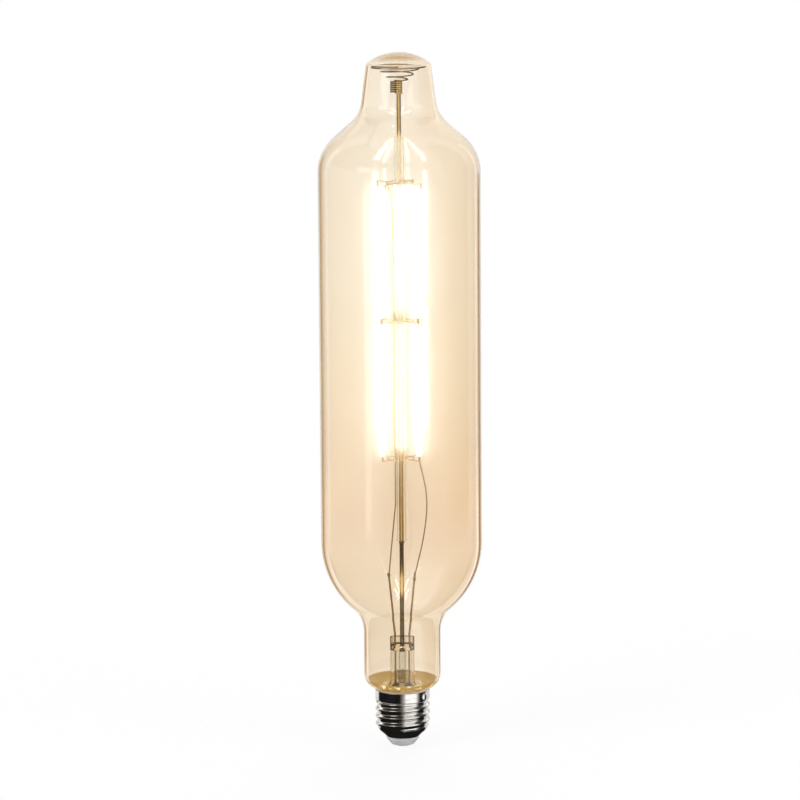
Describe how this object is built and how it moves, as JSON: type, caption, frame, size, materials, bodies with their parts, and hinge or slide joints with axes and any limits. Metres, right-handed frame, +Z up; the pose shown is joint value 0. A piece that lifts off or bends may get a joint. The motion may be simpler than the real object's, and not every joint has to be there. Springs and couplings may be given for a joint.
{
  "type": "led filament bulb",
  "caption": "Long tubular amber glass bulb with a nipple top, a cage of glowing LED filaments on a central post and an Edison screw cap",
  "frame": {"origin": "The lowest point of the cap's centre contact, on the bulb's axis", "axes": "+Z runs up the bulb's axis from the cap to the nipple, +X is to the right of a viewer in front at -Y"},
  "size_m": [0.0766, 0.0766, 0.3324],
  "materials": {
    "amber_glass": "blown, clear amber tint",
    "clear_glass": "clear, fire polished",
    "rod_metal": "bright drawn, darkened",
    "spring_metal": "bright drawn wire",
    "lead_wire": "drawn nickel wire",
    "phosphor": "phosphor coated silicone, lit",
    "cement": "baked, matt",
    "cap_nickel": "nickel plated, polished",
    "solder": "smooth, as flowed",
    "insulator": "moulded, satin",
    "contact_brass": "tinned",
    "driver_wire": "tinned wire",
    "circuit_board": "lacquered laminate",
    "capacitor_can": "sleeved can",
    "chip_plastic": "moulded",
    "resistor_body": "lacquered"
  },
  "bodies": {
    "root": {"glass_envelope": "amber_glass", "stem": "clear_glass", "exhaust_tube": "clear_glass", "support_sleeve": "clear_glass", "centre_rod": "rod_metal", "locating_spring": "spring_metal", "spring_ferrule": "spring_metal", "left_stem_lead": "lead_wire", "right_stem_lead": "lead_wire", "left_lead": "lead_wire", "right_lead": "lead_wire", "bottom_spider": "lead_wire", "middle_spider": "lead_wire", "top_spider": "lead_wire", "lower_filament_1": "phosphor", "lower_filament_2": "phosphor", "lower_filament_3": "phosphor", "lower_filament_4": "phosphor", "upper_filament_1": "phosphor", "upper_filament_2": "phosphor", "upper_filament_3": "phosphor", "upper_filament_4": "phosphor", "basing_cement": "cement", "cap_shell": "cap_nickel", "side_solder": "solder", "contact_solder": "solder", "cap_insulator": "insulator", "centre_contact": "contact_brass", "contact_wire": "driver_wire", "shell_wire": "driver_wire", "driver_board": "circuit_board", "smoothing_capacitor": "capacitor_can", "bridge_rectifier": "chip_plastic", "driver_chip": "chip_plastic", "fuse_resistor": "resistor_body"}
  },
  "joints": []
}
